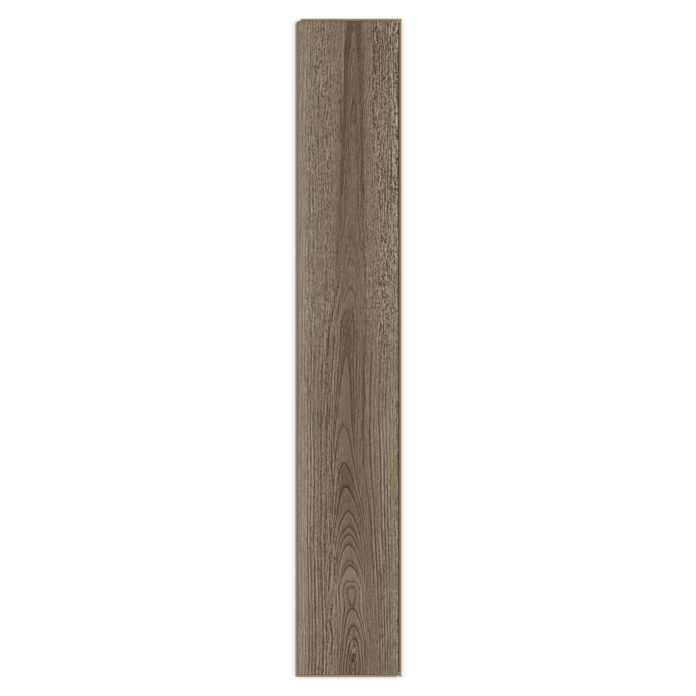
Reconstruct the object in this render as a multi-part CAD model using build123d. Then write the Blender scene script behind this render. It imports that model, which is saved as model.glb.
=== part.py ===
from build123d import *
import math
import os

# A laminate floor plank: one pressed fibreboard with a printed wood face and milled click joints.
# The board lies flat, face up. X runs across it, Y along it and Z up from its underside.
# The origin is on the underside, below the middle of the face.
# The tongues are on the -X side and the -Y end, and the grooves with their locking lips are on
# the +X side and the +Y end, so that the next plank's tongue seats in each groove.
# The face, core and backing are pressed into one board, so the plank is one solid.

# The face, measured between the upright joint planes of opposite edges
face_width = 188.0
face_length = 1218.0
thickness = 8.0
bevel = 0.8  # painted bevel round the face, at 45 degrees

# The tongue
tongue_reach = 4.0  # out from the joint plane
tongue_top = 5.4  # height of its flat upper side
nose_top_radius = 0.6
nose_foot_radius = 0.4

# The lip under each groove, which hooks behind the heel of the next plank's tongue
lip_thickness = 2.0  # at the thinnest place, in the lip's pocket
side_lip_reach = 5.2  # out from the joint plane
side_lip_crest = 3.3  # height of the locking rib
end_lip_reach = 4.8
end_lip_crest = 3.0  # lower than the sides' rib, so that the ends tap together
lip_chamfer = 0.8
lock_angle = 50.0  # of the locking faces, up from the floor
heel_run = 0.3  # flat under the tongue's heel, in from the joint plane
corner_radius = 0.25  # the cutters' own rounding, in the pocket, recess and groove

# Clearances between a tongue and the groove it seats in
top_gap = 0.05
lock_gap = 0.05
swing_gap = 0.1  # under the tongue, which swings in about the face's edge
nose_gap = 0.4
crest_gap = 0.2
lip_gap = 0.3

SHARP = 0.0


def on_swing(radius, reach):
    """Height at a reach from the joint plane of an arc struck about the face's edge."""
    return thickness - math.sqrt(radius**2 - reach**2)


def face_edge():
    """Outline shared by both joints: the bevel and the top of the upright joint plane."""
    return [(-bevel, thickness, SHARP), (0, thickness - bevel, SHARP)]


def tongue_edge(lip_reach, lip_crest):
    """Corners (outward, up, rounding) of a tongued edge, and the arc's ends and middle."""
    swing = thickness - lip_thickness - swing_gap
    heel = thickness - swing
    recess_top = lip_crest + crest_gap
    lock_run = (recess_top - heel) / math.tan(math.radians(lock_angle))
    recess_wall = -(lip_reach + lip_gap)
    before_arc = face_edge() + [
        (0, tongue_top, SHARP),
        (tongue_reach, tongue_top, nose_top_radius),
        (tongue_reach, on_swing(swing, tongue_reach), nose_foot_radius),
    ]
    arc_middle = (tongue_reach / 2, on_swing(swing, tongue_reach / 2))
    after_arc = [
        (0, heel, SHARP),
        (-heel_run, heel, corner_radius),
        (-heel_run - lock_run, recess_top, corner_radius),
        (recess_wall, recess_top, corner_radius),
        (recess_wall, 0, SHARP),
    ]
    return before_arc, arc_middle, after_arc


def groove_edge(lip_reach, lip_crest):
    """Corners (outward, up, rounding) of a grooved edge, and the arc's ends and middle."""
    swing = thickness - lip_thickness
    slope = math.tan(math.radians(lock_angle))
    groove_depth = tongue_reach + nose_gap
    lock_shift = lock_gap / math.sin(math.radians(lock_angle))
    lock_foot = heel_run + lock_shift - swing_gap / slope
    before_arc = face_edge() + [
        (0, tongue_top + top_gap, SHARP),
        (-groove_depth, tongue_top + top_gap, corner_radius),
        (-groove_depth, on_swing(swing, groove_depth), corner_radius),
    ]
    arc_middle = (-groove_depth / 2, on_swing(swing, groove_depth / 2))
    after_arc = [
        (0, lip_thickness, SHARP),
        (lock_foot, lip_thickness, corner_radius),
        (lock_foot + (lip_crest - lip_thickness) / slope, lip_crest, corner_radius),
        (lip_reach - lip_chamfer, lip_crest, SHARP),
        (lip_reach, lip_crest - lip_chamfer, SHARP),
        (lip_reach, 0, SHARP),
    ]
    return before_arc, arc_middle, after_arc


def edge_lines(joint, place):
    """The lines and the swing arc of one milled edge, with each corner put in its place."""
    before_arc, arc_middle, after_arc = joint
    upper = [place(out, up) for out, up, _ in before_arc]
    lower = [place(out, up) for out, up, _ in after_arc]
    arc = ThreePointArc(upper[-1], place(*arc_middle), lower[0])
    rounded = [(place(out, up), r) for out, up, r in before_arc + after_arc if r > SHARP]
    return Polyline(*upper) + arc + Polyline(*lower), upper[0], lower[-1], rounded


def board_section(span, lip_reach, lip_crest):
    """Section across one pair of edges: the tongue at the low end of span, the groove at the high end."""
    tongue, tongue_face, tongue_foot, tongue_rounds = edge_lines(
        tongue_edge(lip_reach, lip_crest), lambda out, up: (-span / 2 - out, up)
    )
    groove, groove_face, groove_foot, groove_rounds = edge_lines(
        groove_edge(lip_reach, lip_crest), lambda out, up: (span / 2 + out, up)
    )
    outline = tongue + groove + Line(tongue_face, groove_face) + Line(tongue_foot, groove_foot)
    section = make_face(outline)
    for corner, radius in tongue_rounds + groove_rounds:
        nearest = section.vertices().sort_by_distance(corner)[0]
        section = fillet(nearest, radius)
    return section


def milled_plank():
    """The board left where the two sides' cutters and the two ends' cutters have all passed."""
    past_ends = tongue_reach + side_lip_reach + end_lip_reach
    sides = Plane.XZ * board_section(face_width, side_lip_reach, side_lip_crest)
    ends = Plane.YZ * board_section(face_length, end_lip_reach, end_lip_crest)
    sides_milled = extrude(sides, face_length / 2 + past_ends, both=True)
    ends_milled = extrude(ends, face_width / 2 + past_ends, both=True)
    # Past the grooved end the cutters free a chip of the side tongue's heel, which falls away.
    return (sides_milled & ends_milled).solids().sort_by(SortBy.VOLUME)[-1]


os.makedirs("parts", exist_ok=True)
export_step(milled_plank(), "parts/floor_plank.step")
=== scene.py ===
import math

import bmesh
import bpy
import numpy as np
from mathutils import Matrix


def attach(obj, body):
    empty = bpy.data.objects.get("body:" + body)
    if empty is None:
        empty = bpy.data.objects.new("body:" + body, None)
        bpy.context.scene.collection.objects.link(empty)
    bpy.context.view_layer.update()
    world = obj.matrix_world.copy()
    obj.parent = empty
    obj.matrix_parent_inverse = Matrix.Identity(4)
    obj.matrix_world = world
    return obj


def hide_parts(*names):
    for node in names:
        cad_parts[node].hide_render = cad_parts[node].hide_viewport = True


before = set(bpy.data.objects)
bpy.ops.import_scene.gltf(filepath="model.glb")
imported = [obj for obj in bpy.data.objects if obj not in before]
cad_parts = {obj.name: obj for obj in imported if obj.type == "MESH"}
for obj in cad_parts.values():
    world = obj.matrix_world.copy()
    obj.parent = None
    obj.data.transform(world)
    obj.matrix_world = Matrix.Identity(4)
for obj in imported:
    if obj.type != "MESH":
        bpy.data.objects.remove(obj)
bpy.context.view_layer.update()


# The plank: one fibreboard with a printed melamine face pressed on, milled on all four edges.
# Its face is embossed: the printed ring lines are pressed in, and fine grooves among its vessels.
# It lies loose, face up, and the click joints on its edges hold it to the next planks.

MM = 0.001
milled_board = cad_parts["floor_plank"]

# The wood that the print shows, in mm. X runs across the plank and Y up its length.
# Each arch is a growth ring that the saw met at its tip and left again down both sides: the
# height of its tip, how bold its line is, and how pale (or below zero, how dark) it is inside.
arches = [
    (600, 0.9, 0.0), (590, 0.8, 0.2), (576, 0.9, 0.1), (559, 0.9, -0.2), (458, 0.7, -0.2),
    (431, 0.4, 0.0),
    (199, 0.5, 0.1), (164, 0.35, 0.1), (130, 0.3, 0.1), (112, 0.5, 0.1), (70, 0.6, -0.3),
    (-15, 0.8, 0.1), (-143, 0.9, 0.1), (-217, 1.0, -0.4), (-260, 1.0, -0.2), (-285, 0.25, -0.1),
    (-305, 0.9, 0.0), (-334, 0.8, 0.1), (-348, 0.9, 0.1), (-366, 1.0, 0.25), (-397, 0.5, -0.1),
    (-404, 1.0, 0.45), (-436, 0.9, 0.1), (-485, 1.0, 0.3), (-518, 1.0, 0.1),
    (-542, 0.9, 0.2), (-557, 0.9, 0.3), (-570, 0.7, -0.2), (-584, 0.8, 0.1), (-597, 0.6, -0.3),
]
tip_heights, arch_boldness, arch_paleness = zip(*arches[::-1])
# How fast the arches open below each height, as spread (see below) over length. The dip below
# zero closes two rings into the small eye near the tongued end.
opening_at = [609, 260, 205, 75, 55, 45, -10, -20, -100, -143, -217, -260, -300, -340,
              -400, -435, -439, -445, -446, -449, -455, -462, -470, -478, -482, -485, -487,
              -530, -560, -609]
opening = [1.2, 0.8, 3.5, 6.0, 6.0, 0.2, 0.2, 1.9, 2.0, 4.0, 6.5, 7.0, 10.5, 12.0,
           11.0, 14.0, 18.0, 19.0, 7.0, 5.0, 1.5, 0.0, -1.5, -2.6, -2.0, 0.0, 9.0,
           8.0, 3.5, 2.5]
# An arch's spread is how far down from its tip it lies at some distance from the heart, where the
# opening is 1. It comes to a point at the heart, is round beside it and gets steep further out.
pointedness, point_width = 4.0, 2.0
roundness = 0.7
steep_from = 40.0
# Some tips near the tongued end are cut off flat, this far each side of the heart.
flat_at = [-425, -434, -451, -470]
flat_tip = [0, 6.5, 4.5, 0]
flat_reach = 14.0
# The tree's heart wanders a little from side to side under the face.
heart_at = [609, 458, 199, 110, 70, -15, -143, -217, -260, -305, -365, -404, -445, -485, -545, -609]
heart_side = [12, 11, 6, 6, 0, -4, -8.5, -6.5, -4, 0, 1.4, 4.5, 7.5, 9, 13, 11]
heart_pull = 60.0  # how far from the heart the rings still follow it
edge_rings = 20  # beyond the outermost arch, out to the plank's edges and past them
least_ring, most_ring = 4.6, 7.2  # their widths
least_bold, most_bold = 0.4, 1.1  # how bold their lines are
innermost_bold = 0.5  # how bold the line of the ring inside the lowest arch is
ring_change = 1.5  # the wood changes from one ring's tone to the next this near to the line
# Half the length and the width that the rings are worked out over, a little more than the plank's.
rings_half_length, rings_half_width = 620.0, 100.0
# How far the rings wobble, in cells of this width and length, and the tips' own levels besides.
ring_wobble, ring_wobble_cell = 1.6, (30, 110)
fine_wobble, fine_wobble_cell = 0.35, (7, 22)
tip_wobble, tip_wobble_cell, tip_wobble_reach = 14.0, (7, 9), 25.0
lattice = 256  # cells of noise each way before it repeats


def lattice_noise(x, y, cell_x, cell_y, seed):
    """Smooth noise from -1 to 1 with cells of this size, the same on every run."""
    table = np.random.default_rng(seed).uniform(-1, 1, (lattice, lattice))
    column, row = x / cell_x, y / cell_y
    i, j = np.floor(column).astype(int), np.floor(row).astype(int)
    s, t = column - i, row - j
    s, t = s * s * (3 - 2 * s), t * t * (3 - 2 * t)
    a, b = i % lattice, (i + 1) % lattice
    c, d = j % lattice, (j + 1) % lattice
    low = table[a, c] * (1 - s) + table[b, c] * s
    high = table[a, d] * (1 - s) + table[b, d] * s
    return low * (1 - t) + high * t


def step_up(value, start, end):
    """A smooth step from 0 to 1 as value goes from start to end."""
    share = np.clip((value - start) / (end - start), 0, 1)
    return share * share * (3 - 2 * share)


def bell(value, middle, reach):
    """1 at the middle, falling smoothly to nothing on both sides."""
    return np.exp(-(((value - middle) / reach) ** 2))


def spot(x, y, middle_x, middle_y, reach_x, reach_y):
    """1 in the middle of an oval, falling smoothly to nothing around it."""
    return np.exp(-(((x - middle_x) / reach_x) ** 2) - ((y - middle_y) / reach_y) ** 2)


def spread_out(side):
    """An arch's spread at this distance from the heart."""
    pointed = pointedness * (np.sqrt(side**2 + point_width**2) - point_width)
    return pointed + roundness * side**2 + side**4 / steep_from**2


def spread_slope(side):
    """The slope of spread_out."""
    pointed = pointedness * side / np.sqrt(side**2 + point_width**2)
    return pointed + 2 * roundness * side + 4 * side**3 / steep_from**2


# The rings' levels. Up the plank the level rises as fast as the arches open there, and away from
# the heart it rises by their spread, so each ring's edge is a line where the level is the same.
stations = np.arange(-rings_half_length, rings_half_length + 1.0)
openings = np.interp(stations, opening_at[::-1], opening[::-1])
heart_level = np.concatenate([[0], np.cumsum((openings[1:] + openings[:-1]) / 2)])
tips = np.interp(tip_heights, stations, heart_level)
least_rise, first_rise = 0.01, 200.0  # from any tip to the next, and up to the lowest tip
tips = np.maximum.accumulate(tips + np.arange(len(tips)) * least_rise)
sides = np.linspace(0, rings_half_width, 2001)  # every 0.05 mm
outermost = np.interp(tips[-1], spread_out(sides), sides)
ring_steps = np.random.default_rng(17).uniform(least_ring, most_ring, edge_rings)
beyond_tips = spread_out(outermost + np.cumsum(ring_steps))
ring_edges = np.concatenate([[tips[0] - first_rise], tips, beyond_tips])
least_steepness = 0.8  # keeps a ring's width in bounds where the level is almost flat


def growth_rings(x, y):
    """Ring number out from the heart, a ring's width there in mm, and the distance to the heart."""
    heart = np.interp(y, heart_at[::-1], heart_side[::-1])
    wander = ring_wobble * lattice_noise(x, y, *ring_wobble_cell, seed=11)
    wander = wander + fine_wobble * lattice_noise(x, y, *fine_wobble_cell, seed=12)
    side = x - heart * bell(x, 0, heart_pull) + wander
    flat = np.interp(y, flat_at[::-1], flat_tip[::-1])
    side = np.sign(side) * np.maximum(np.abs(side) - flat * bell(side, 0, flat_reach), 0)
    level = spread_out(side) + np.interp(y, stations, heart_level)
    wobble = tip_wobble * lattice_noise(x, y, *tip_wobble_cell, seed=13)
    level = level + wobble * bell(side, 0, tip_wobble_reach)
    rings = np.interp(level, ring_edges, np.arange(len(ring_edges)))
    per_ring = np.interp(level, (ring_edges[1:] + ring_edges[:-1]) / 2, np.diff(ring_edges))
    steepness = np.hypot(spread_slope(side), np.interp(y, stations, openings))
    return rings, per_ring / np.maximum(steepness, least_steepness), side


def ring_looks(rings, past_line, before_line):
    """How bold the line nearest to each point is, and how pale the wood is there."""
    luck = np.random.default_rng(31)
    edge_bold = luck.uniform(least_bold, most_bold, edge_rings + 1)
    bold = np.array([innermost_bold, *arch_boldness, *edge_bold])
    pale = np.array([*arch_paleness] + [0.0] * (edge_rings + 2))
    ring = np.clip(np.floor(rings).astype(int), 1, len(pale) - 2)
    nearest = np.where(past_line < before_line, bold[ring], bold[ring + 1])
    start, end = (pale[ring - 1] + pale[ring]) / 2, (pale[ring] + pale[ring + 1]) / 2
    wood = start + (pale[ring] - start) * step_up(past_line, 0, ring_change)
    return nearest, end + (wood - end) * step_up(before_line, 0, ring_change)


# Clouds of darker and paler wood: middle across and up, half width, half length, and lift.
# A lift is added to the tone: above zero for paler wood, and below it for darker.
clouds = [
    (22, 560, 20, 80, 0.12), (70, 560, 34, 110, -0.4), (0, 20, 10, 40, -0.1),
    (0, -230, 18, 90, -0.1), (44, -370, 10, 60, -0.1),
    (66, -570, 24, 50, -0.12), (3, -425, 12, 16, 0.2), (-12, -480, 11, 130, 0.35),
    (24, -470, 11, 110, 0.6), (-76, -330, 16, 260, 0.5), (75, 300, 20, 140, -0.2),
    (-86, 150, 10, 280, 0.3), (-28, -500, 10, 130, 0.5), (70, -170, 14, 70, 0.35),
]
# Olive wood, in the same form but with a share in place of the lift.
olive_spots = [
    (-19, -72, 5, 26, 0.7), (2, 330, 13, 60, 0.5), (8, -466, 7, 14, 0.5), (-2, -190, 8, 30, 0.35),
    (40, -330, 7, 50, 0.5), (-88, 40, 6, 600, 0.2), (4, -575, 12, 25, 0.6), (-2, 30, 8, 36, 0.45),
]
# Long lines where the saw ran along the grain: half width, lift, then the line's points, x and y.
long_lines = [
    (1.4, 1.2, (-9, 602), (-9, 490)), (1.4, -0.8, (-6, 565), (-6, 390)),
    (1.4, -0.8, (-13, 525), (-13, 390)), (1.4, -0.6, (28, 580), (28, 430)),
    (1.4, -0.9, (-16, 130), (-37, 20), (-43, -86), (-50, -150)),
    (1.4, 0.8, (-12, 130), (-33, 20), (-39, -86), (-46, -150)),
    (1.4, -0.8, (-10, 110), (-24, 40), (-31, -60), (-36, -150)),
    (1.4, 0.6, (-7, 100), (-20, 40), (-28, -60), (-33, -150)),
    (1.4, -0.2, (-76, -120), (-77, -300), (-75, -480)), (1.4, 0.2, (-73, -120), (-73, -470)),
    (1.4, -0.2, (-69, -60), (-70, -300), (-68, -450)), (1.4, 0.2, (-65, -100), (-64, -470)),
    (1.4, -0.6, (-61, -100), (-62, -300), (-62, -500)), (1.4, 0.4, (-58, -130), (-58, -480)),
    (1.4, -0.5, (-55, -80), (-55, -330), (-53, -460)), (1.4, -0.5, (-30, -180), (-32, -420)),
    (1.4, 0.4, (-27, -190), (-29, -420)), (1.4, -0.35, (26, -20), (40, -180), (48, -460)),
    (1.4, -0.35, (36, -20), (49, -200), (54, -420)), (1.4, 0.4, (31, -30), (45, -200), (51, -440)),
    (1.4, -0.4, (59, -60), (61, -500)), (1.4, -0.3, (68, -60), (69, -470)),
    (1.5, 0.3, (64, -90), (65, -430)), (1.4, -0.15, (79, -100), (80, -540)),
    (1.5, 0.3, (84, -60), (84, -540)), (1.4, 0.2, (74, -60), (74, -400)),
    (1.5, 1.0, (80, 540), (85, 400), (84, 240)), (1.5, -0.8, (75, 560), (80, 380), (81, 260)),
]
line_fade = 25.0  # over which a long line starts and ends
# How far long lines drift aside, and how unevenly they show, with the cells of the noise for each.
line_drift, line_drift_cell = 0.9, (12, 45)
line_luck, line_luck_cell = 0.5, (3, 40)
# How strongly the vessels show across the face, from edge to edge, in its upper and lower part.
across_at = [-93, -75, -40, 0, 30, 60, 93]
vessels_high = [0.1, 0.4, 0.65, 0.22, 0.35, 1.1, 1.0]
vessels_low = [0.15, 0.36, 0.65, 0.12, 0.25, 0.35, 0.5]
least_vessels = 0.05
# How unevenly the vessels and the fibres show, with the cells of the noise for each.
vessel_luck, vessel_luck_cell = 0.35, (18, 60)
fibre_luck, fibre_luck_cell = 0.35, (22, 120)
# Places on the face, as middle and reach, or as the heights between which one look turns into
# another, and how much each look does there.
upper_end, lower_start = 80.0, -60.0
heart_reach = 22.0
left_rim_at = (-96.0, 11.0)
eye_at = (-464.0, 24.0)  # the small eye, up the plank
nest_at = (9.0, -562.0, 9.0, 26.0)  # the small nested arches at the foot, across and up
nest_vessels = 0.9
bolder_from, bolder_to = -230.0, -330.0
late_fades_from, late_fades_to = 340.0, 460.0
flank_at = (34.0, 20.0)  # the grain beside the arches, from the heart
flank_from, flank_to = 20.0, -160.0
leaning_at = (30.0, 18.0)  # the grain that leans out towards the foot, from the heart
leaning_from, leaning_to = 60.0, -600.0
slant = 3.5  # how far it leans
slant_turn = 8.0  # over which it turns from one side's lean to the other's
bold_beside, bolder_below = 0.25, 0.7  # the lines away from the heart, and what the lower part adds
bolder_at_foot = 0.25
crowded_width, crowded_bold = 2.6, 0.7  # rings narrower than this have fainter lines, down to this
rim_fainter, rim_finer = 0.5, 0.45  # what the left rim takes from the lines and from the fibres
fibres_high, fibres_below, fibres_in_flank = 0.45, 0.1, 0.15  # the last two are added to the first
late_less_at_eye, late_less_at_top = 0.8, 0.5
olive_in_dark = 0.7  # how olive a dark arch is inside, as a share of how dark it is
plain_tone = -0.03  # of wood with no lift


def with_clouds_and_lines(tone, x, y):
    """The tone with the clouds and the long lines laid on it."""
    for *cloud, lift in clouds:
        tone = tone + lift * spot(x, y, *cloud)
    drifted = x + line_drift * lattice_noise(x, y, *line_drift_cell, seed=43)
    strength = 1 + line_luck * lattice_noise(x, y, *line_luck_cell, seed=44)
    for half, lift, *points in long_lines:
        line_x, line_y = np.array(points).T
        here = bell(drifted, np.interp(y, line_y[::-1], line_x[::-1]), half)
        ends = step_up(y, line_y[0] + line_fade, line_y[0] - line_fade)
        ends = ends * step_up(y, line_y[-1] - line_fade, line_y[-1] + line_fade)
        tone = tone + lift * here * ends * strength
    return tone


def with_olive_spots(olive, x, y):
    """How olive the wood is, with the olive spots laid on it."""
    for *place, share in olive_spots:
        olive = np.maximum(olive, share * spot(x, y, *place))
    return olive


def vessel_strength(x, y):
    """How strongly the vessels show. Coarse ones break up the small nested arches at the foot."""
    strength = np.interp(x, across_at, vessels_high) * step_up(y, lower_start, upper_end)
    strength = strength + np.interp(x, across_at, vessels_low) * step_up(y, upper_end, lower_start)
    luck = 1 + vessel_luck * lattice_noise(x, y, *vessel_luck_cell, seed=41)
    return np.maximum(strength * luck, least_vessels) + nest_vessels * spot(x, y, *nest_at)


def printed_wood(x, y):
    """What the mesh carries for the print at each point."""
    rings, ring_width, side = growth_rings(x, y)
    past_line, before_line = (rings % 1) * ring_width, (1 - rings % 1) * ring_width
    boldness, pale = ring_looks(rings, past_line, before_line)
    near_heart = bell(side, 0, heart_reach)
    left_rim = bell(x, *left_rim_at)
    lower_part = step_up(y, upper_end, lower_start)

    # The lines are bold near the heart and towards the foot, and fainter where they crowd.
    boldness = boldness * (near_heart + (1 - near_heart) * (bold_beside + bolder_below * lower_part))
    boldness = boldness * np.clip(ring_width / crowded_width, crowded_bold, 1)
    boldness = boldness * (1 + bolder_at_foot * step_up(y, bolder_from, bolder_to))
    boldness = boldness * (1 - rim_fainter * left_rim)
    # The dark arches are olive inside.
    olive = np.clip(-olive_in_dark * pale * near_heart, 0, 1)
    # The fibres show most beside the arches.
    flank = bell(np.abs(side), *flank_at) * step_up(y, flank_from, flank_to)
    fibres = fibres_high + fibres_below * lower_part + fibres_in_flank * flank
    fibres = fibres * (1 + fibre_luck * lattice_noise(x, y, *fibre_luck_cell, seed=42))
    fibres = fibres * (1 - rim_finer * left_rim)
    # The rings darken towards their lines near the heart, less at the top and round the small eye.
    late = near_heart * (1 - late_less_at_eye * bell(y, *eye_at))
    late = late * (1 - late_less_at_top * step_up(y, late_fades_from, late_fades_to))
    lean = slant * step_up(y, leaning_from, leaning_to) * bell(np.abs(side), *leaning_at)
    return {
        "rings": rings,
        "ring_width": ring_width,
        "boldness": boldness,
        "tone": with_clouds_and_lines(pale * near_heart + plain_tone, x, y),
        "olive": with_olive_spots(olive, x, y),
        "vessels": vessel_strength(x, y),
        "fibres": fibres,
        "late": late,
        "lean": lean * np.tanh(side / slant_turn),
    }


# Mesh. The milled body is the board's own. Its face is laid again as a fine grid, which the
# press plate dents: only downwards, and not at its rim, which meets the bevel.
face_columns, face_rows = 192, 432
bevel_columns, bevel_rows = 8, 48
line_dent, groove_dent = 0.06, 0.04  # in mm, for a line of boldness 1 and for vessels of strength 1
line_half_width = 1.4
groove_width, groove_length = 2.6, 30
same_place = 1e-6  # two heights or points nearer than this, in metres, are the same
flat_angle, sharp_angle = math.radians(0.2), math.radians(25)
band_depth = 0.5 * MM  # the middles of the face and of the bevel's slopes lie this near the top
band_rise = 0.1  # and their normals point up by more than this

body = bmesh.new()
body.from_mesh(milled_board.data)
bmesh.ops.remove_doubles(body, verts=body.verts[:], dist=same_place)
bmesh.ops.dissolve_limit(body, angle_limit=flat_angle, verts=body.verts[:], edges=body.edges[:])
face_height = max(v.co.z for v in body.verts)
face_corner = [v.co for v in body.verts if v.co.z > face_height - same_place]
half_width = max(c.x for c in face_corner)
half_length = max(c.y for c in face_corner)


def cut_across(axis, places):
    """Cuts the body's faces where planes across this axis pass through it."""
    normal = [0.0, 0.0, 0.0]
    normal[axis] = 1.0
    for place in places:
        point = [0.0, 0.0, 0.0]
        point[axis] = place
        everything = body.verts[:] + body.edges[:] + body.faces[:]
        bmesh.ops.bisect_plane(body, geom=everything, plane_co=point, plane_no=normal)


cut_columns = np.linspace(-half_width, half_width, bevel_columns + 1)
cut_rows = np.linspace(-half_length, half_length, bevel_rows + 1)
cut_across(0, cut_columns[1:-1])
cut_across(1, cut_rows[1:-1])

top_band = [f for f in body.faces if f.normal.z > band_rise]
top_band = [f for f in top_band if f.calc_center_median().z > face_height - band_depth]
bevel_foot = min(v.co.z for f in top_band for v in f.verts)
bmesh.ops.delete(body, geom=top_band, context="FACES")

columns = np.linspace(-half_width, half_width, face_columns + 1)
rows = np.linspace(-half_length, half_length, face_rows + 1)
grid_x, grid_y = np.meshgrid(columns, rows)
grid_x, grid_y = grid_x / MM, grid_y / MM
wood = printed_wood(grid_x, grid_y)
off_line = np.abs(wood["rings"] - np.round(wood["rings"])) * wood["ring_width"]
dent = line_dent * step_up(off_line, line_half_width, 0) * wood["boldness"]
grooves = np.clip(lattice_noise(grid_x, grid_y, groove_width, groove_length, seed=51), 0, 1)
dent = dent + groove_dent * (grooves * wood["vessels"])
dent[[0, -1], :] = 0
dent[:, [0, -1]] = 0
heights = face_height - dent * MM

grid = [[body.verts.new((x, y, z)) for x, z in zip(columns, line)] for y, line in zip(rows, heights)]
face_faces = set()
for near, far in zip(grid[:-1], grid[1:]):
    for a, b, c, d in zip(near[:-1], near[1:], far[1:], far[:-1]):
        face_faces.add(body.faces.new((a, b, c, d)))


def lay_bevel(foot, edge, step):
    """Faces from each span of the bevel's foot up to the run of face vertices above it."""
    laid = set()
    for place, (a, b) in enumerate(zip(foot[:-1], foot[1:])):
        run = edge[place * step : (place + 1) * step + 1]
        laid.add(body.faces.new([a, b] + run[::-1]))
    return laid


def foot_line(axis, side):
    """Vertices of the bevel's foot on one edge of the plank, in order along it."""
    across = 1 - axis
    reach = max(abs(v.co[across]) for v in body.verts if abs(v.co.z - bevel_foot) < same_place)
    line = [v for v in body.verts if abs(v.co.z - bevel_foot) < same_place
            and abs(v.co[across] - side * reach) < same_place]
    return sorted(line, key=lambda v: v.co[axis])


row_step, column_step = face_rows // bevel_rows, face_columns // bevel_columns
bevel_faces = lay_bevel(foot_line(1, 1), [line[-1] for line in grid], row_step)
bevel_faces |= lay_bevel(foot_line(1, -1), [line[0] for line in grid], row_step)
bevel_faces |= lay_bevel(foot_line(0, 1), grid[-1], column_step)
bevel_faces |= lay_bevel(foot_line(0, -1), grid[0], column_step)
bmesh.ops.recalc_face_normals(body, faces=body.faces[:])

PRINTED, PAINTED, MILLED, BACKED = range(4)
widest_round = 0.7 * MM  # facets of the cutters' roundings are narrower than this
straight_down = -0.999
for face in body.faces:
    longest = max(edge.calc_length() for edge in face.edges)
    face.smooth = face in face_faces or face.calc_area() / longest < widest_round
    if face in face_faces:
        face.material_index = PRINTED
    elif face in bevel_faces:
        face.material_index = PAINTED
    elif face.normal.z < straight_down and face.calc_center_median().z < same_place:
        face.material_index = BACKED
    else:
        face.material_index = MILLED
bmesh.ops.triangulate(body, faces=[f for f in body.faces if len(f.verts) > 4], ngon_method="EAR_CLIP")

rounded = [face.smooth for face in body.faces]
plank_mesh = bpy.data.meshes.new("laminate_plank")
body.to_mesh(plank_mesh)
body.free()
plank_mesh.set_sharp_from_angle(angle=sharp_angle)
plank_mesh.polygons.foreach_set("use_smooth", rounded)  # which the line above sets for all
plank = bpy.data.objects.new("laminate_plank", plank_mesh)
bpy.context.scene.collection.objects.link(plank)


def read_mesh(items, name, kind, width=1):
    """What each vertex, face or corner of the mesh has under this name, as an array."""
    values = np.empty(len(items) * width, kind)
    items.foreach_get(name, values)
    return values.reshape(-1, width) if width > 1 else values


# A map for baking: the face lies over its left part, stretched across, and the edges and the
# underside are unfolded into the rest.
face_share = 0.74
face_margin, rest_margin, island_margin = 0.003, 0.01, 0.004
plank_mesh.uv_layers.new(name="OFBake")
bpy.context.view_layer.objects.active = plank
plank.select_set(True)
printed_face = read_mesh(plank_mesh.polygons, "material_index", np.int32) == PRINTED
plank_mesh.polygons.foreach_set("select", ~printed_face)
bpy.ops.object.mode_set(mode="EDIT")
bpy.context.tool_settings.mesh_select_mode = (False, False, True)
bpy.ops.uv.smart_project(angle_limit=math.radians(60), island_margin=island_margin)
bpy.ops.object.mode_set(mode="OBJECT")
bake_map = plank_mesh.uv_layers["OFBake"].data
spots = read_mesh(bake_map, "uv", np.float32, 2)
places = read_mesh(plank_mesh.vertices, "co", np.float32, 3)
ground = places[read_mesh(plank_mesh.loops, "vertex_index", np.int32)]
on_face = np.repeat(printed_face, read_mesh(plank_mesh.polygons, "loop_total", np.int32))
rest_share = 1 - face_share - 2 * rest_margin
spots[~on_face, 0] = face_share + rest_margin + rest_share * spots[~on_face, 0]
across_face = (ground[on_face, 0] / half_width + 1) / 2
along_face = (ground[on_face, 1] / half_length + 1) / 2
spots[on_face, 0] = face_margin + (face_share - 2 * face_margin) * across_face
spots[on_face, 1] = face_margin + (1 - 2 * face_margin) * along_face
bake_map.foreach_set("uv", spots.ravel())

for name, values in printed_wood(places[:, 0] / MM, places[:, 1] / MM).items():
    field = plank_mesh.attributes.new(name, "FLOAT", "POINT")
    field.data.foreach_set("value", values.astype(np.float32))


# Finishes. Colours are given as they look, from 0 to 255, and turned into light for the nodes.
def tint(red, green, blue):
    """A colour given from 0 to 255 as it looks, for a shader socket."""
    levels = [c / 255 for c in (red, green, blue)]
    return [c / 12.92 if c <= 0.04045 else ((c + 0.055) / 1.055) ** 2.4 for c in levels] + [1.0]


def add(tree, kind, inputs=None, **settings):
    """A new node of this kind, with its settings made and its inputs linked or given a value."""
    node = tree.nodes.new(kind)
    for name, value in settings.items():
        setattr(node, name, value)
    for key, value in (inputs or {}).items():
        if isinstance(value, bpy.types.NodeSocket):
            tree.links.new(value, node.inputs[key])
        else:
            node.inputs[key].default_value = value
    return node


def maths(tree, operation, *values):
    """The result of a Math node on sockets or numbers."""
    return add(tree, "ShaderNodeMath", dict(enumerate(values)), operation=operation).outputs[0]


def fade(tree, value, start, end, low=0.0, high=1.0):
    """A smooth step from low to high as value goes from start to end."""
    inputs = {"Value": value, "From Min": start, "From Max": end, "To Min": low, "To Max": high}
    return add(tree, "ShaderNodeMapRange", inputs, interpolation_type="SMOOTHSTEP").outputs[0]


def fade_evenly(tree, value, start, end):
    """A straight ramp from 0 to 1 as value goes from start to end."""
    return add(tree, "ShaderNodeMapRange", {"Value": value, "From Min": start, "From Max": end}).outputs[0]


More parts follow.
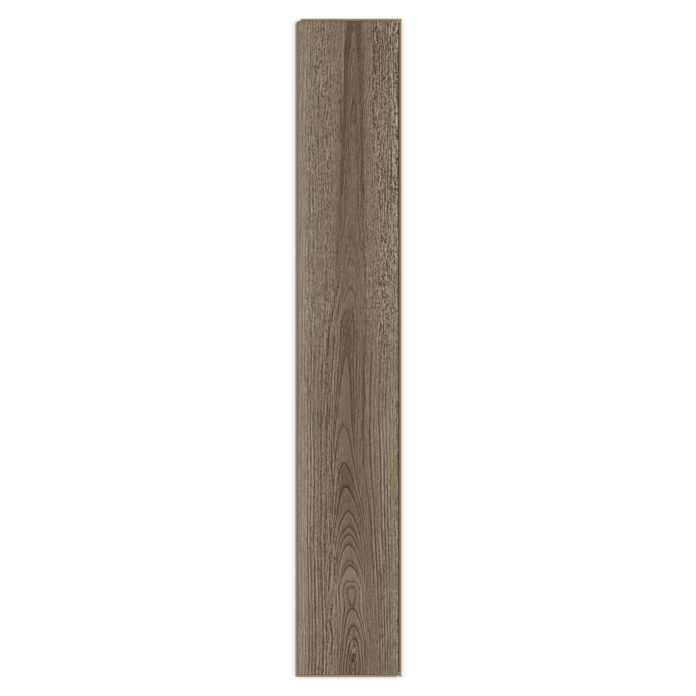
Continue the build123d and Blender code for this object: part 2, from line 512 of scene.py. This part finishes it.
def blend(tree, how, share, under, over):
    """Two colours mixed: over is laid on under in this way, by this share."""
    inputs = {0: share, 6: under, 7: over}
    settings = {"data_type": "RGBA", "blend_type": how, "clamp_factor": True}
    return add(tree, "ShaderNodeMix", inputs, **settings).outputs[2]


def limit(tree, value):
    """A number kept between -1 and 1."""
    return add(tree, "ShaderNodeClamp", {"Value": value, "Min": -1.0, "Max": 1.0}).outputs[0]


def drawn_noise(tree, across, width, along, length, depth):
    """Noise from 0 to 1 with spots of this width and length. Depth picks one of its many layers."""
    drawn = {0: maths(tree, "DIVIDE", across, width), 1: maths(tree, "DIVIDE", along, length), 2: depth}
    drawn = add(tree, "ShaderNodeCombineXYZ", drawn).outputs[0]
    return add(tree, "ShaderNodeTexNoise", {"Vector": drawn, "Scale": 1.0, "Detail": 0.0}).outputs[0]


def new_group(name, inputs, outputs):
    """An empty node group with these sockets, and its two end nodes."""
    tree = bpy.data.node_groups.new(name, "ShaderNodeTree")
    for title, (kind, value) in inputs.items():
        socket = tree.interface.new_socket(title, in_out="INPUT", socket_type=kind)
        if value is not None:
            socket.default_value = value
    for title in outputs:
        tree.interface.new_socket(title, in_out="OUTPUT", socket_type="NodeSocketFloat")
    return tree, tree.nodes.new("NodeGroupInput").outputs, tree.nodes.new("NodeGroupOutput").inputs


def new_material(name):
    """An empty node material, with its tree and its Principled shader linked to the output."""
    material = bpy.data.materials.new(name)
    material.use_nodes = True
    tree = material.node_tree
    tree.nodes.clear()
    shader = add(tree, "ShaderNodeBsdfPrincipled")
    add(tree, "ShaderNodeOutputMaterial", {"Surface": shader.outputs[0]})
    return material, tree, shader


NUMBER, POINT = "NodeSocketFloat", "NodeSocketVector"

# Streaks: noise drawn out along the plank, from -1 to 1, for grain, pores and brush marks.
streaks, ask, give = new_group(
    "Streaks",
    {"Place": (POINT, None), "Width": (NUMBER, 2.0), "Length": (NUMBER, 60.0), "Layer": (NUMBER, 0.0)},
    ["Value"],
)
split = add(streaks, "ShaderNodeSeparateXYZ", {0: ask["Place"]}).outputs
depth = maths(streaks, "ADD", maths(streaks, "DIVIDE", split[2], ask["Width"]), ask["Layer"])
noise = drawn_noise(streaks, split[0], ask["Width"], split[1], ask["Length"], depth)
spread = 5.0  # of the noise, whose middle of 0.5 becomes 0
value = maths(streaks, "MULTIPLY_ADD", noise, spread, -spread / 2)
streaks.links.new(limit(streaks, value), give["Value"])

# Strands: fibres side by side, from -1 to 1, which bend and crowd as drawn-out noise pushes them.
strands, ask, give = new_group(
    "Strands",
    {
        "Place": (POINT, None),
        "Spacing": (NUMBER, 4.4),
        "Push": (NUMBER, 3.0),
        "Push Width": (NUMBER, 9.0),
        "Push Length": (NUMBER, 60.0),
        "Layer": (NUMBER, 0.0),
    },
    ["Value"],
)
split = add(strands, "ShaderNodeSeparateXYZ", {0: ask["Place"]}).outputs
noise = drawn_noise(strands, split[0], ask["Push Width"], split[1], ask["Push Length"], ask["Layer"])
spread = 4.0
pushed = maths(strands, "MULTIPLY_ADD", noise, spread, -spread / 2)
pushed = maths(strands, "MULTIPLY", pushed, ask["Push"])
turns = maths(strands, "DIVIDE", maths(strands, "ADD", split[0], pushed), ask["Spacing"])
wave = maths(strands, "SINE", maths(strands, "MULTIPLY", turns, 2 * math.pi))
crest = 1.4  # above 1, so that crests and troughs come out flat
wave = maths(strands, "MULTIPLY", wave, crest)
strands.links.new(limit(strands, wave), give["Value"])

# Ring lines: the dark line where each growth ring starts, the pale wood just inside it, and the
# darker late wood just outside it.
ring_lines, ask, give = new_group(
    "Ring lines",
    {
        "Rings": (NUMBER, 0.0),
        "Ring Width": (NUMBER, 5.0),
        "Half Width": (NUMBER, 1.2),
        "Late Reach": (NUMBER, 7.0),
    },
    ["Dark", "Pale", "Late"],
)
# A line and its late wood take up at most these shares of a ring. A line is fully dark over a share
# of its half width, and its pale edge ends this many half widths out.
line_most, late_most = 0.4, 0.6
dark_share, pale_reach = 0.4, 3.0
half_line = maths(ring_lines, "MULTIPLY", ask["Ring Width"], line_most)
half_line = maths(ring_lines, "MINIMUM", half_line, ask["Half Width"])
part = maths(ring_lines, "FRACT", ask["Rings"])
outside = maths(ring_lines, "MULTIPLY", part, ask["Ring Width"])
inside = maths(ring_lines, "SUBTRACT", ask["Ring Width"], outside)
nearest = maths(ring_lines, "MINIMUM", outside, inside)
full_dark = maths(ring_lines, "MULTIPLY", half_line, dark_share)
line = fade(ring_lines, nearest, full_dark, half_line, 1.0, 0.0)
ring_lines.links.new(line, give["Dark"])
pale_end = maths(ring_lines, "MULTIPLY", half_line, pale_reach)
pale_edge = fade(ring_lines, inside, half_line, pale_end, 1.0, 0.0)
off_line = maths(ring_lines, "SUBTRACT", 1.0, line)
ring_lines.links.new(maths(ring_lines, "MULTIPLY", pale_edge, off_line), give["Pale"])
late_end = maths(ring_lines, "MULTIPLY", ask["Ring Width"], late_most)
late_end = maths(ring_lines, "MINIMUM", late_end, ask["Late Reach"])
ring_lines.links.new(fade(ring_lines, outside, 0.0, late_end, 1.0, 0.0), give["Late"])


def use_group(tree, group, inputs):
    """One use of a node group, and its outputs."""
    return add(tree, "ShaderNodeGroup", inputs, node_tree=group).outputs


def place_in_mm(tree):
    """Where a point is on the plank, in mm."""
    where = add(tree, "ShaderNodeTexCoord").outputs["Object"]
    scaled = add(tree, "ShaderNodeVectorMath", {0: where, "Scale": 1 / MM}, operation="SCALE")
    return scaled.outputs[0]


def read_field(tree, name):
    """A number that the mesh carries at each point."""
    return add(tree, "ShaderNodeAttribute", attribute_name=name).outputs["Fac"]


# The printed face: a brown-grey oak print, darker along the heart, khaki and grey at the edges.
heart_brown = tint(114, 97, 80)
flank_taupe = tint(127, 110, 93)
rim_khaki = tint(141, 130, 110)
rim_grey = tint(135, 123, 105)
olive_cast = tint(124, 119, 92)
rose_cast = tint(132, 112, 99)
olive_wood = tint(119, 102, 75)
olive_strip = tint(127, 121, 86)
# What the ring lines and the darkest and the palest grain multiply the print by.
line_wood = [0.50, 0.42, 0.33, 1.0]
deep_wood = [0.30, 0.25, 0.19, 1.0]
pale_wood = [1.915, 1.98, 2.06, 1.0]
deepest, palest = -1.3, 1.7  # the tones that have these two
# How much the grain adds to the tone: what it adds everywhere, and what it adds besides where the
# fibres or the vessels are at full strength.
hair_gain, speck_least, pore_least = 0.24, 0.06, -0.15
fibre_gain, vessel_gain, speck_gain, pore_gain = 0.9, 1.3, 0.95, -0.5
# How much the wood just inside and just outside a ring line adds to the tone.
pale_edge_gain, late_gain = 0.35, -0.6
lacquer_shine = 0.3
bump_depth = 0.1 * MM

printed, tree, shader = new_material("printed_oak_face")
place = place_in_mm(tree)
split = add(tree, "ShaderNodeSeparateXYZ", {0: place}).outputs
rings_here, width_here, bold_here, late_here, lean_here = (
    read_field(tree, name) for name in ("rings", "ring_width", "boldness", "late", "lean")
)
tone_here, olive_here, vessels_here, fibres_here = (
    read_field(tree, name) for name in ("tone", "olive", "vessels", "fibres")
)


def streak(where, width, length, layer):
    """Streaks on the print, by the size of one in mm, or in rings and mm. No two share a layer."""
    return use_group(tree, streaks, {"Place": where, "Width": width, "Length": length, "Layer": layer})[0]


def strand(where, spacing, push, push_width, push_length, layer):
    """Strands on the print, by their spacing and by the noise that pushes them aside, in mm."""
    inputs = {"Place": where, "Spacing": spacing, "Push": push, "Layer": layer}
    return use_group(tree, strands, inputs | {"Push Width": push_width, "Push Length": push_length})[0]


# The plain colours, by where a point is across the plank, with a slow drift from side to side.
colour_drift = 4.0
heart_middle, heart_edge, flank_edge = 4.0, 4.0, 44.0  # the last two as distances from the first
khaki_full, khaki_end_low, khaki_end_high = -90.0, -64.0, -46.0
grey_start, grey_full = 50.0, 92.0
across = maths(tree, "MULTIPLY_ADD", streak(place, 24.0, 260.0, layer=3.0), colour_drift, split[0])
from_heart = maths(tree, "ABSOLUTE", maths(tree, "SUBTRACT", across, heart_middle))
base = blend(tree, "MIX", fade(tree, from_heart, heart_edge, flank_edge), heart_brown, flank_taupe)
khaki_end = fade(tree, split[1], lower_start, upper_end, khaki_end_low, khaki_end_high)
base = blend(tree, "MIX", fade(tree, across, khaki_end, khaki_full), base, rim_khaki)
base = blend(tree, "MIX", fade(tree, across, grey_start, grey_full), base, rim_grey)
# Long streaks with an olive or a rose cast, strongest at the rims.
cast_start, cast_full, least_cast, most_cast = 40.0, 85.0, 0.12, 0.6
strong_streak = 0.9
cast = streak(place, 2.6, 90.0, layer=4.0)
rim = fade(tree, maths(tree, "ABSOLUTE", across), cast_start, cast_full, least_cast, most_cast)
olive_share = maths(tree, "MULTIPLY", rim, fade(tree, cast, 0.0, strong_streak))
rose_share = maths(tree, "MULTIPLY", rim, fade(tree, cast, 0.0, -strong_streak))
base = blend(tree, "MIX", olive_share, base, olive_cast)
base = blend(tree, "MIX", rose_share, base, rose_cast)
base = blend(tree, "MIX", olive_here, base, olive_wood)
# A narrow olive strip by the right rim, plainer in the lower part.
strip_middle, strip_reach, strip_core = 87.0, 5.5, 1.0
strip_high, strip_low, strip_low_from = 0.25, 0.8, -170.0
off_strip = maths(tree, "ABSOLUTE", maths(tree, "SUBTRACT", across, strip_middle))
strip_share = fade(tree, split[1], lower_start, strip_low_from, strip_high, strip_low)
strip_share = maths(tree, "MULTIPLY", strip_share, fade(tree, off_strip, strip_reach, strip_core))
base = blend(tree, "MIX", strip_share, base, olive_strip)

line_inputs = {"Rings": rings_here, "Ring Width": width_here, "Half Width": 1.9, "Late Reach": 8.0}
lines = use_group(tree, ring_lines, line_inputs)
along_rings = add(tree, "ShaderNodeCombineXYZ", {0: rings_here, 1: split[1]}).outputs[0]
leant = maths(tree, "SUBTRACT", across, lean_here)
flow = add(tree, "ShaderNodeCombineXYZ", {0: leant, 1: split[1]}).outputs[0]

# Where the rings are wide enough the fibres follow them, and elsewhere they run along the plank.
mean_ring = 5.8  # what a ring counts for across the fibres that follow it
ring_place = maths(tree, "MULTIPLY", rings_here, mean_ring)
ring_flow = add(tree, "ShaderNodeCombineXYZ", {0: ring_place, 1: split[1]}).outputs[0]
ring_fibre = strand(ring_flow, 4.3, 2.4, 14.0, 220.0, layer=1.5)
life = fade(tree, streak(ring_flow, 5.0, 45.0, layer=2.5), -1.0, 1.0, 0.1, 1.0)
bare_ring, full_ring = 12.0, 6.0  # the widths of rings with no such fibres and with all of them
life = maths(tree, "MULTIPLY", life, fade(tree, width_here, bare_ring, full_ring))
ring_fibre = maths(tree, "MULTIPLY", ring_fibre, life)
long_fibre = strand(flow, 4.1, 1.2, 9.0, 55.0, layer=6.5)
life = fade(tree, streak(flow, 4.5, 18.0, layer=8.5), -1.0, 1.0, 0.2, 1.25)
long_fibre = maths(tree, "MULTIPLY", long_fibre, life)
too_narrow, wide_enough = 3.0, 4.6
follows = fade(tree, width_here, too_narrow, wide_enough)
fibre = add(tree, "ShaderNodeMix", {0: follows, 2: long_fibre, 3: ring_fibre}).outputs[0]

# The vessels are long and broken up, with short specks and long pale flecks over them.
rare_from, rare_full = 0.45, 0.9  # flecks and pores are where their streaks are this high
vessel = strand(flow, 4.2, 1.0, 11.0, 32.0, layer=3.5)
vessel = maths(tree, "MULTIPLY", vessel, streak(flow, 6.0, 26.0, layer=4.5))
breaks = fade(tree, streak(flow, 0.7, 14.0, layer=18.5), -0.8, 0.8, 0.45, 1.4)
vessel = maths(tree, "MULTIPLY", vessel, breaks)
speck = streak(flow, 1.6, 3.8, layer=7.5)
fleck = fade(tree, streak(flow, 1.3, 20.0, layer=16.5), rare_from, rare_full)
# Hairs and pores are finer than the photo shows, and keep the print wood-like from near by.
hair = streak(flow, 0.45, 11.0, layer=12.5)
pore = fade(tree, streak(flow, 0.5, 5.0, layer=14.5), rare_from, rare_full)

fibre_share = maths(tree, "MULTIPLY", fibres_here, fibre_gain)
vessel_share = maths(tree, "MULTIPLY", vessels_here, vessel_gain)
speck_share = maths(tree, "MULTIPLY_ADD", vessels_here, speck_gain, speck_least)
pore_share = maths(tree, "MULTIPLY_ADD", vessels_here, pore_gain, pore_least)
grain = maths(tree, "MULTIPLY", fibre, fibre_share)
grain = maths(tree, "MULTIPLY_ADD", vessel, vessel_share, grain)
grain = maths(tree, "MULTIPLY_ADD", fleck, vessels_here, grain)
grain = maths(tree, "MULTIPLY_ADD", speck, speck_share, grain)
grain = maths(tree, "MULTIPLY_ADD", hair, hair_gain, grain)
grain = maths(tree, "MULTIPLY_ADD", pore, pore_share, grain)

# The ring lines fade in and out a little along their length.
faintest_line = 0.65
line_life = fade(tree, streak(along_rings, 1.5, 60.0, layer=11.0), -0.9, 0.3, faintest_line, 1.0)
dark_line = maths(tree, "MULTIPLY", lines["Dark"], bold_here)
dark_line = maths(tree, "MULTIPLY", dark_line, line_life)
pale_edge = maths(tree, "MULTIPLY", lines["Pale"], bold_here)
late = maths(tree, "MULTIPLY", lines["Late"], maths(tree, "MULTIPLY", bold_here, late_here))
tone = maths(tree, "ADD", grain, maths(tree, "MULTIPLY_ADD", pale_edge, pale_edge_gain, tone_here))
tone = maths(tree, "MULTIPLY_ADD", late, late_gain, tone)
share = fade_evenly(tree, tone, deepest, palest)
grain_tint = blend(tree, "MIX", share, deep_wood, pale_wood)
colour = blend(tree, "MULTIPLY", 1.0, base, grain_tint)
colour = blend(tree, "MULTIPLY", dark_line, colour, line_wood)

line_height = -0.5  # in the bump, beside the grain's own height
bump_height = maths(tree, "MULTIPLY_ADD", dark_line, line_height, grain)
bump = add(tree, "ShaderNodeBump", {"Strength": 1.0, "Distance": bump_depth, "Height": bump_height})
tree.links.new(colour, shader.inputs["Base Color"])
tree.links.new(fade(tree, grain, 1.0, -1.0, 0.45, 0.62), shader.inputs["Roughness"])
tree.links.new(bump.outputs[0], shader.inputs["Normal"])
shader.inputs["Specular IOR Level"].default_value = lacquer_shine

# The painted bevel: a thin dark stain brushed onto the cut edge of the face.
painted, tree, shader = new_material("painted_bevel")
place = place_in_mm(tree)
brushed = use_group(tree, streaks, {"Place": place, "Width": 1.2, "Length": 18.0, "Layer": 2.0})[0]
stain = blend(tree, "MIX", fade(tree, brushed, -1.0, 1.0), tint(58, 49, 40), tint(84, 72, 60))
tree.links.new(stain, shader.inputs["Base Color"])
tree.links.new(fade(tree, brushed, -1.0, 1.0, 0.5, 0.62), shader.inputs["Roughness"])
shader.inputs["Specular IOR Level"].default_value = lacquer_shine

# The milled edges: bare fibreboard, flecked, and denser and darker near its two faces.
milled, tree, shader = new_material("milled_fibreboard")
place = place_in_mm(tree)
split = add(tree, "ShaderNodeSeparateXYZ", {0: place}).outputs
flake_inputs = {"Vector": place, "Scale": 1.6, "Detail": 5.0, "Roughness": 0.7}
flake = add(tree, "ShaderNodeTexNoise", flake_inputs).outputs[0]
core_middle, core_loose, core_dense = 3.9, 1.0, 3.8  # the last two as distances from the first
off_middle = maths(tree, "ABSOLUTE", maths(tree, "SUBTRACT", split[2], core_middle))
dense = fade(tree, off_middle, core_loose, core_dense)
darkening = 0.35
core = blend(tree, "MIX", fade(tree, flake, 0.3, 0.7), tint(150, 129, 102), tint(172, 151, 123))
core = blend(tree, "MULTIPLY", maths(tree, "MULTIPLY", dense, darkening), core, tint(190, 176, 160))
tree.links.new(core, shader.inputs["Base Color"])
shader.inputs["Roughness"].default_value = 0.8
bump = add(tree, "ShaderNodeBump", {"Strength": 0.4, "Distance": bump_depth, "Height": flake})
tree.links.new(bump.outputs[0], shader.inputs["Normal"])

# The backing: plain balancing paper pressed under the board, softly mottled.
backed, tree, shader = new_material("backing_paper")
place = place_in_mm(tree)
mottle_inputs = {"Vector": place, "Scale": 0.08, "Detail": 4.0, "Roughness": 0.6}
mottle = add(tree, "ShaderNodeTexNoise", mottle_inputs).outputs[0]
paper = blend(tree, "MIX", fade(tree, mottle, 0.35, 0.65), tint(178, 164, 142), tint(196, 184, 164))
tree.links.new(paper, shader.inputs["Base Color"])
shader.inputs["Roughness"].default_value = 0.75

for finish in (printed, painted, milled, backed):
    plank_mesh.materials.append(finish)

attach(plank, "root")
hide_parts("floor_plank")


# The floor: plain, pale and flat, white to the camera, but still with the plank's soft shadow on it.
floor_half = 12.0
floor_glow = 0.24  # what it needs besides the lamps to come out white
floor_drop = 0.2 * MM  # below the plank's backing, so that the two faces don't coincide
floor_corners = ((-1, -1), (1, -1), (1, 1), (-1, 1))
floor_mesh = bpy.data.meshes.new("floor")
floor_mesh.from_pydata(
    [(x * floor_half, y * floor_half, -floor_drop) for x, y in floor_corners],
    [],
    [(0, 1, 2, 3)],
)
floor = bpy.data.objects.new("floor", floor_mesh)
bpy.context.scene.collection.objects.link(floor)
pale_floor, tree, shader = new_material("pale_floor")
paint = add(tree, "ShaderNodeTexNoise", {"Scale": 3.0}).outputs[0]
tree.links.new(fade(tree, paint, 0.0, 1.0, 0.85, 0.9), shader.inputs["Roughness"])
shader.inputs["Base Color"].default_value = (0.8, 0.8, 0.8, 1.0)
shader.inputs["Specular IOR Level"].default_value = 0.0
path = add(tree, "ShaderNodeLightPath").outputs
seen = maths(tree, "MAXIMUM", path["Is Camera Ray"], path["Is Glossy Ray"])
tree.links.new(seen, shader.inputs["Emission Color"])
shader.inputs["Emission Strength"].default_value = floor_glow
floor_mesh.materials.append(pale_floor)


# The light: a pale room and two broad soft lamps on the plank's two sides, as on a copy stand.
world = bpy.data.worlds.new("pale_room")
bpy.context.scene.world = world
world.use_nodes = True
tree = world.node_tree
tree.nodes.clear()
path = add(tree, "ShaderNodeLightPath").outputs
seen = maths(tree, "MAXIMUM", path["Is Camera Ray"], path["Is Transmission Ray"])
room_strength = 0.45  # on the plank, while the camera sees plain white
room_light = fade(tree, seen, 0.0, 1.0, room_strength, 1.0)
glow = add(tree, "ShaderNodeBackground", {"Color": (1, 1, 1, 1), "Strength": room_light})
add(tree, "ShaderNodeOutputWorld", {"Surface": glow.outputs[0]})


lamp_breadth = math.radians(40)


def soft_lamp(name, place, strength):
    """A far, broad lamp that shines from this direction with the same strength everywhere."""
    lamp = bpy.data.lights.new(name, "SUN")
    lamp.energy = strength
    lamp.angle = lamp_breadth
    holder = bpy.data.objects.new(name, lamp)
    holder.location = place
    holder.rotation_euler = (-holder.location).to_track_quat("-Z", "Y").to_euler()
    bpy.context.scene.collection.objects.link(holder)


soft_lamp("lamp_left", (-2.6, 0.8, 2.2), 1.75)
soft_lamp("lamp_right", (2.6, -0.8, 2.2), 0.85)


# The camera: straight above the plank's middle, on a long lens, with the plank upright.
photo_size = 696
face_in_photo = 100.95  # pixels across the face, upright plane to upright plane
face_width = 188.0 * MM  # between the same two planes
lens = 200.0
sensor = 36.0
view_width = face_width * photo_size / face_in_photo
camera = bpy.data.cameras.new("camera")
camera.lens = lens
camera.sensor_width = sensor
eye = bpy.data.objects.new("camera", camera)
eye.location = (0.0, 0.0, face_height + view_width * lens / sensor)
bpy.context.scene.collection.objects.link(eye)
bpy.context.scene.camera = eye
bpy.context.scene.view_settings.view_transform = "Standard"
